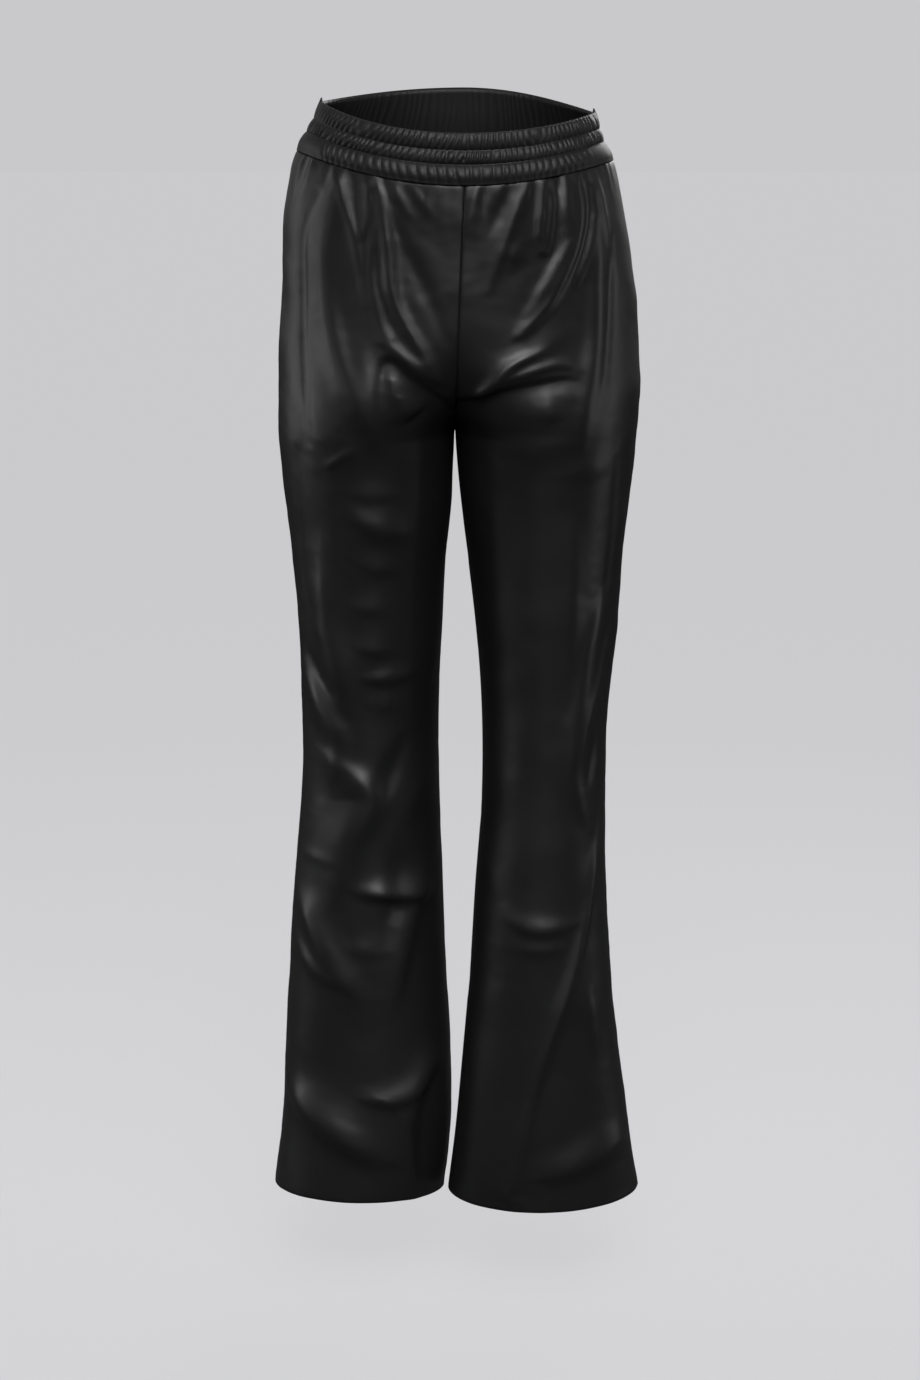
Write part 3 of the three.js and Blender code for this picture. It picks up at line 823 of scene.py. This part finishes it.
def smallGathers(points, seed):  # short ridges that the waistband lets down, dying out below it
    dice = np.random.default_rng(seed)
    top = points[:, 0]
    arc = np.concatenate([[0], np.cumsum(np.linalg.norm(np.diff(top, axis=0), axis=1))])
    below = top[:, None, 2] - points[..., 2]
    raised = np.zeros(points.shape[:2])
    for _ in range(gathers["perPanel"]):
        centre = arc[-1] * dice.uniform(gathers["clearOfSide"], 1)
        height = dice.uniform(*gathers["height"]) * dice.choice([1, 1, -1])
        width = dice.uniform(*gathers["width"])
        length = dice.uniform(*gathers["length"])
        drift = dice.uniform(-gathers["drift"], gathers["drift"])
        offset = arc[:, None] - centre - drift * below
        spread = width * (1 + below / length * gathers["widening"])
        fade = np.exp(-((below / length) ** gathers["fade"]))
        raised += height * np.exp(-((offset / spread) ** 2)) * fade
    return raised


def calmSides(normals, raised):  # folds flatten out where they pass round a side
    turned = np.clip((np.abs(normals[..., 0]) - calm["from"]) / calm["over"], 0, 1)
    return raised * (1 - calm["share"] * turned * turned * (3 - 2 * turned))


def legClearance(points, normals, raised):  # nothing bulges into the narrow gap between the legs
    below = np.clip((cut["crotch"] + legGap["height"] - points[..., 2]) / legGap["height"], 0, 1)
    sideways = np.clip(legGap["steep"] * np.abs(normals[..., 0]) - legGap["start"], 0, 1)
    inner = sideways * np.clip(legGap["full"] - np.abs(points[..., 0]) / legGap["reach"], 0, 1)
    return np.where(raised > 0, raised * (1 - inner * below), raised)


def gridObject(name, points, outwards, materials):  # a grid of points as an object, faces turned outwards
    columns, rows = points.shape[:2]
    bm = bmesh.new()
    bmesh.ops.create_grid(bm, x_segments=columns - 1, y_segments=rows - 1, size=1)
    mesh = bpy.data.meshes.new(name)
    bm.to_mesh(mesh)
    bm.free()
    flat = np.empty(len(mesh.vertices) * 3)
    mesh.vertices.foreach_get("co", flat)
    flat = flat.reshape(-1, 3)
    i = np.rint((flat[:, 0] + 1) / 2 * (columns - 1)).astype(int)
    k = np.rint((flat[:, 1] + 1) / 2 * (rows - 1)).astype(int)
    mesh.vertices.foreach_set("co", (points[i, k] * metre).ravel())
    mesh.update()
    face = mesh.polygons[len(mesh.polygons) // 2]
    corner = face.vertices[0]
    if face.normal.dot(Vector(outwards[i[corner], k[corner]])) < 0:
        mesh.flip_normals()
    for material in materials:
        mesh.materials.append(material)
    mesh.polygons.foreach_set("use_smooth", [True] * len(mesh.polygons))
    mesh.update()
    item = bpy.data.objects.new(name, mesh)
    bpy.context.scene.collection.objects.link(item)
    return item


def makePanel(name, side, half, seed):
    u, z, base = baseGrid(side, half)
    normals = settleNormals(gridNormals(base, -outward[side] * facing[half]), base)
    flatPoints, flatNormals = base.reshape(-1, 3), normals.reshape(-1, 3)
    raised = calmSides(flatNormals, foldHeights(flatPoints, flatNormals)) + unevenness(flatPoints)
    raised = raised.reshape(u.shape) + smallGathers(base, seed)
    below = base[:, :1, 2] - base[..., 2]
    raised *= 1 - seams["heldShare"] * np.exp(-((below / seams["heldHeight"]) ** 2))
    raised = legClearance(base, normals, raised)
    ends = np.array(panelGrid["seamColumns"])
    count = len(ends)
    fromSeam = np.full(u.shape[0], np.inf)
    fromSeam[:count], fromSeam[-count:] = ends, ends[::-1]
    raised -= seams["roll"] * np.exp(-((fromSeam / seams["rollWidth"]) ** 1.2))[:, None]
    raised -= seams["tuck"] * np.exp(-((below / seams["tuckHeight"]) ** 2))
    points = base + normals * raised[..., None]
    # the allowances fold back inside, under the panel, as far as the column reachIn
    reachIn = count + seams["allowanceColumns"]
    inside = -seams["allowanceDepth"]
    firstBack = base[reachIn] + normals[reachIn] * (raised[reachIn] + inside)[..., None]
    firstTurn = base[1] + normals[1] * (raised[2] + inside)[..., None]
    lastBack = base[-1 - reachIn] + normals[-1 - reachIn] * (raised[-1 - reachIn] + inside)[..., None]
    lastTurn = base[-2] + normals[-2] * (raised[-3] + inside)[..., None]
    points = np.concatenate([[firstBack], [firstTurn], points, [lastTurn], [lastBack]])
    firstOut, lastOut = [-normals[reachIn], normals[1]], [normals[-2], -normals[-1 - reachIn]]
    outwards = np.concatenate([firstOut, normals, lastOut])
    panel = gridObject(name, points, outwards, [leather, backing])
    wall = panel.modifiers.new("wall", "SOLIDIFY")
    wall.thickness = cut["thickness"] * metre
    wall.offset = -1
    wall.material_offset = 1
    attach(panel, "root")
    return panel


panels = [
    ("frontPanelRight", "right", "front", "front_panel_right", 11),
    ("frontPanelLeft", "left", "front", "front_panel_left", 12),
    ("backPanelRight", "right", "back", "back_panel_right", 13),
    ("backPanelLeft", "left", "back", "back_panel_left", 14),
]

for name, side, half, node, seed in panels:
    panel = makePanel(name, side, half, seed)
    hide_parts(node)

print("trousers: waistband")

bandShape = {
    "columns": 470,
    "rows": (60, 16),  # outside and inside
    "thickness": 3.0,
    "flat": (0.49, 0.054),  # before gathering
    "overhang": 1.0,  # the lowest channel hangs this far over the top of the panels
    "insideWave": 0.5,
    "tip": 4.0,  # the top edge stands up in a small point at each side seam
    "tipWidth": 0.014,  # shares of the waist's half, as all widths below
    "tipDepth": 0.3,
    "gatherEase": 0.06,
    "plainEnd": 0.012,
    "puffEase": 0.1,
    "sidePuff": 0.62,
    "humpRound": 0.55,
    "sagFrom": 0.93,  # share of the height where the overhang starts
    "sagEase": 0.05,
    "insideCount": 50,
    "insideSpan": (0.03, 0.985),
    "insideLean": 0.2,
    "insidePlainEnd": 0.02,
    "foldFollows": 0.35,  # share of the gathers that goes over the fold at the top
    "foldIn": 0.4,
    "foldUp": 1.0,
    "underIn": 0.8,
    "groove": 0.5,
    "joins": {
        "front": ["front_panel_right", "front_panel_left"],
        "back": ["back_panel_right", "back_panel_left"],
    },
}
# share of the height where a channel starts and ends, puff, ridges across half the waist, ridge height,
# lean of the ridges to the right and to the left of the centre, how far from the side seam they start
channels = [
    (0.0, 0.33, 2.0, 56, 2.1, 0.5, 0.2, 0.02),
    (0.33, 0.61, 1.9, 62, 2.1, 0.6, 0.3, 0.02),
    (0.61, 1.0, 3.2, 46, 2.0, -0.5, 0.1, 0.17),
]


def bandSurface(half, t, share, raised):
    angle = np.where(t < 0.5, t, 1 - t) * math.pi
    result = np.empty(np.broadcast(t, share).shape + (3,))
    for side in outward:
        here = (t < 0.5) if side == "right" else (t >= 0.5)
        top = bandEdge(bandTop, side, half, angle)
        bottom = bandEdge(bandBottom, side, half, angle)
        z = top + (bottom - top) * share
        centre = cut["centreSeam"][1]
        reach = readRows(outlines[side], z, "side") - centre
        depth = readRows(outlines[side], z, half)
        nx, ny = np.cos(angle) / reach, facing[half] * np.sin(angle) / depth
        size = np.hypot(nx, ny)
        x = centre + reach * np.cos(angle) + nx / size * raised
        y = facing[half] * (cut["seamGap"] / 2 + depth * np.sin(angle)) + ny / size * raised
        result = np.where(here[..., None], np.stack(np.broadcast_arrays(x, y, z), axis=-1), result)
    return result


ridgeShape = {
    "beats": (3, 5, 8, 13),
    "sideShare": 0.45,  # share of the ridges that crowd towards the sides
    "drift": 0.45,
    "shear": 0.35,
    "shearDrift": 0.5,
    "strength": 0.85,
    "strengthDrift": 0.16,
    "strengthRange": (0.45, 1.2),
    "round": 0.75,
}


def wander(t, dice, strength):  # a smooth uneven drift along the waist
    total = 0 * t
    for beats in ridgeShape["beats"]:
        total = total + dice.uniform(-1, 1) * np.sin(2 * math.pi * (beats * t + dice.uniform(0, 1)))
    return strength * total


def ridges(t, share, count, leanRight, leanLeft, dice):  # rounded ridges with sharp creases between them
    shape = ridgeShape
    crowded = (1 - np.cos(math.pi * t)) / 2
    spread = (1 - shape["sideShare"]) * t + shape["sideShare"] * crowded
    lean = np.where(t < 0.5, leanRight, leanLeft)
    drift = wander(t, dice, shape["drift"])
    sheared = shape["shear"] * wander(t + 0.03 * share, dice, shape["shearDrift"])
    phase = math.pi * (count * spread + drift + lean * share + sheared)
    strength = np.clip(shape["strength"] + wander(t, dice, shape["strengthDrift"]), *shape["strengthRange"])
    return strength * np.abs(np.sin(phase)) ** shape["round"]


def bandRaise(t, share, dice):
    raised = -bandShape["groove"] + 0 * (t + share)
    for start, end, puff, count, height, leanRight, leanLeft, clear in channels:
        local = np.clip((share - start) / (end - start), 0, 1)
        inside = (share >= start) & (share <= end)
        hump = np.sin(math.pi * local) ** bandShape["humpRound"]
        if end == 1.0:  # the lowest channel stays full down to its edge
            hump = np.where(local > 0.72, np.maximum(hump, 0.8 - 1.2 * (local - 0.72)), hump)
        if start == 0.0:  # and the highest one up to the fold
            hump = np.where(local < 0.4, np.maximum(hump, 0.45 + local), hump)
        fromSide = np.minimum(t, 1 - t)
        gathered = np.clip((fromSide - clear) / bandShape["gatherEase"] + 0.15, 0, 1)
        gathered = gathered * np.clip(fromSide / bandShape["plainEnd"], 0, 1)
        wave = ridges(t, local, count, leanRight, leanLeft, dice)
        full = bandShape["sidePuff"]
        full = full + (1 - full) * np.clip(fromSide / bandShape["puffEase"], 0, 1)
        top = hump * (puff * full + gathered * height * (wave - 0.5))
        raised = np.where(inside, top - bandShape["groove"] * (1 - hump), raised)
    return raised


def makeBand(name, half, node, seed):
    t = np.linspace(0, 1, bandShape["columns"] + 1)[:, None]
    fromSide = np.minimum(t, 1 - t)
    outer = np.linspace(1, 0, bandShape["rows"][0])[None, :]
    dice = np.random.default_rng(seed)
    outerRaise = bandRaise(t, outer, dice)
    outside = bandSurface(half, t, outer + 0 * t, outerRaise)
    sag = np.clip((outer - bandShape["sagFrom"]) / (1 - bandShape["sagFrom"]), 0, 1)
    sag = bandShape["overhang"] * sag * np.clip(fromSide / bandShape["sagEase"], 0.35, 1)
    outside[..., 2] -= sag
    inner = np.linspace(*bandShape["insideSpan"], bandShape["rows"][1])[None, :]
    lean = bandShape["insideLean"]
    waves = ridges(t, inner, bandShape["insideCount"], lean, lean, dice) - 0.5
    waves = bandShape["insideWave"] * waves * np.clip(fromSide / bandShape["insidePlainEnd"], 0, 1)
    inside = bandSurface(half, t, inner + 0 * t, waves - bandShape["thickness"])
    topRaise = outerRaise[:, -1:] * bandShape["foldFollows"] - bandShape["thickness"] * bandShape["foldIn"]
    topEdge = bandSurface(half, t, 0 * t, topRaise)
    topEdge[..., 2] += bandShape["foldUp"]
    tip = bandShape["tip"] * np.exp(-((fromSide / bandShape["tipWidth"]) ** 2))
    outside[..., 2] += tip * np.clip(1 - outer / bandShape["tipDepth"], 0, 1)
    topEdge[..., 2] += tip
    under = bandSurface(half, t, 1 + 0 * t, 0 * t - bandShape["underIn"])
    loop = np.concatenate([under, outside, topEdge, inside, under], axis=1)
    outwards = np.zeros_like(loop)
    outwards[..., 1] = facing[half]
    band = gridObject(name, loop, outwards, [gatheredLeather])
    bm = bmesh.new()
    bm.from_mesh(band.data)
    bmesh.ops.remove_doubles(bm, verts=bm.verts, dist=1e-7)
    bmesh.ops.holes_fill(bm, edges=[e for e in bm.edges if e.is_boundary], sides=0)
    bmesh.ops.recalc_face_normals(bm, faces=bm.faces)
    bm.to_mesh(band.data)
    bm.free()
    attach(band, "root")
    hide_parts(node)
    return band


makeBand("waistbandFront", "front", "waistband_front", 21)
makeBand("waistbandBack", "back", "waistband_back", 22)

print("trousers: stitches")

stitch = {
    "length": 2.7,
    "pitch": 3.3,
    "width": 0.42,
    "margin": 2.0,  # clear of the side seams
    "span": (0.004, 0.996),
    "samples": 1200,
    "step": 1,  # to each side of a stitch, where its direction is read
    "shares": (0.33, 0.61),
    "raise": -0.25,
    "corners": 6,
    "levels": 4,
}


def stitchBead():  # a coarse ball of radius 1, made in a fixed order so that each run gives the same mesh
    corners, levels = stitch["corners"], stitch["levels"]
    turns = math.pi * (0.5 + 2 * np.arange(corners) / corners)
    points = [(0, 0, 1)]
    for tilt in math.pi * np.arange(1, levels) / levels:
        reach, rise = math.sin(tilt), math.cos(tilt)
        points += [(reach * math.cos(turn), reach * math.sin(turn), rise) for turn in turns]
    points.append((0, 0, -1))
    last = len(points) - 1
    faces = []
    for k in range(corners):
        beside = (k + 1) % corners
        faces.append((0, 1 + k, 1 + beside))
        for level in range(levels - 2):
            top = 1 + level * corners
            low = top + corners
            faces.append((top + k, low + k, low + beside, top + beside))
        faces.append((last, last - corners + beside, last - corners + k))
    return np.array(points), faces


def makeStitches():
    bead, beadFaces = stitchBead()
    points, faces = [], []
    for half in facing:
        for share in stitch["shares"]:
            fine = np.linspace(*stitch["span"], stitch["samples"])
            line = bandSurface(half, fine, share + 0 * fine, stitch["raise"] + 0 * fine)
            arc = np.concatenate([[0], np.cumsum(np.linalg.norm(np.diff(line, axis=0), axis=1))])
            for place in np.arange(stitch["margin"], arc[-1] - stitch["margin"], stitch["pitch"]):
                ends = (place - stitch["step"], place + stitch["step"])
                a, b = (np.array([np.interp(end, arc, line[:, c]) for c in range(3)]) for end in ends)
                turn = Vector(b - a).to_track_quat("X", "Z").to_matrix().to_4x4()
                size = Matrix.Diagonal((stitch["length"] / 2, stitch["width"] / 2, stitch["width"] / 2, 1))
                spot = Matrix.Translation(Vector((a + b) / 2 * metre))
                pose = spot @ turn @ size
                faces += [[corner + len(points) for corner in face] for face in beadFaces]
                points += [pose @ Vector(point * metre) for point in bead]
    mesh = bpy.data.meshes.new("bandStitches")
    mesh.from_pydata(points, [], faces)
    mesh.materials.append(thread)
    stitches = bpy.data.objects.new("bandStitches", mesh)
    bpy.context.scene.collection.objects.link(stitches)
    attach(stitches, "root")


makeStitches()
